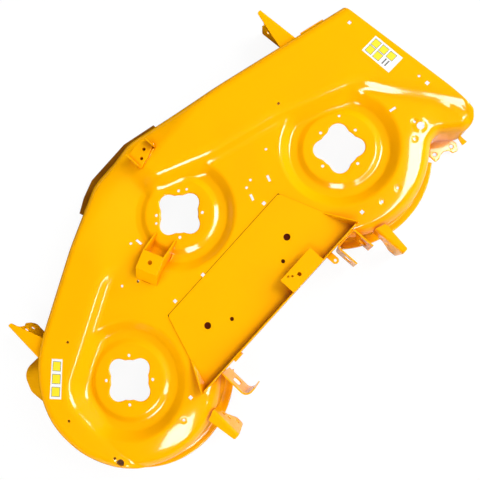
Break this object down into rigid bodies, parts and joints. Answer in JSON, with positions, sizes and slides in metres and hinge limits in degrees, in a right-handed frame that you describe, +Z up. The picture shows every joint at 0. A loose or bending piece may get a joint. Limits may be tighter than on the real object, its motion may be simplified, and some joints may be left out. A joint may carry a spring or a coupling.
{
  "type": "lawn mower deck",
  "caption": "Pressed and welded steel cutting deck for a ride-on mower, with clover spindle openings, a side discharge, wheel arms and lift hangers.",
  "frame": {"origin": "centre of the centre spindle's bolt circle, on the top face of its pad", "axes": "+X to the discharge side, +Y to the front of the mower, +Z up"},
  "size_m": [1.5061, 0.878, 0.1815],
  "materials": {
    "yellow_paint": "glossy powder coat"
  },
  "bodies": {
    "root": {"deck_shell": "yellow_paint", "rear_plate": "yellow_paint", "shelf_bracket": "yellow_paint", "rear_tab": "yellow_paint", "rear_lug": "yellow_paint", "hanger_right": "yellow_paint", "hanger_left": "yellow_paint", "rear_wheel_arm_right": "yellow_paint", "rear_wheel_arm_left": "yellow_paint", "front_wheel_arm_right": "yellow_paint", "front_wheel_arm_left": "yellow_paint", "idler_bracket": "yellow_paint", "nose_hanger": "yellow_paint", "nose_lip": "yellow_paint", "right_lip": "yellow_paint", "front_baffle_left": "yellow_paint", "front_baffle_centre": "yellow_paint", "front_baffle_right": "yellow_paint"}
  },
  "joints": []
}
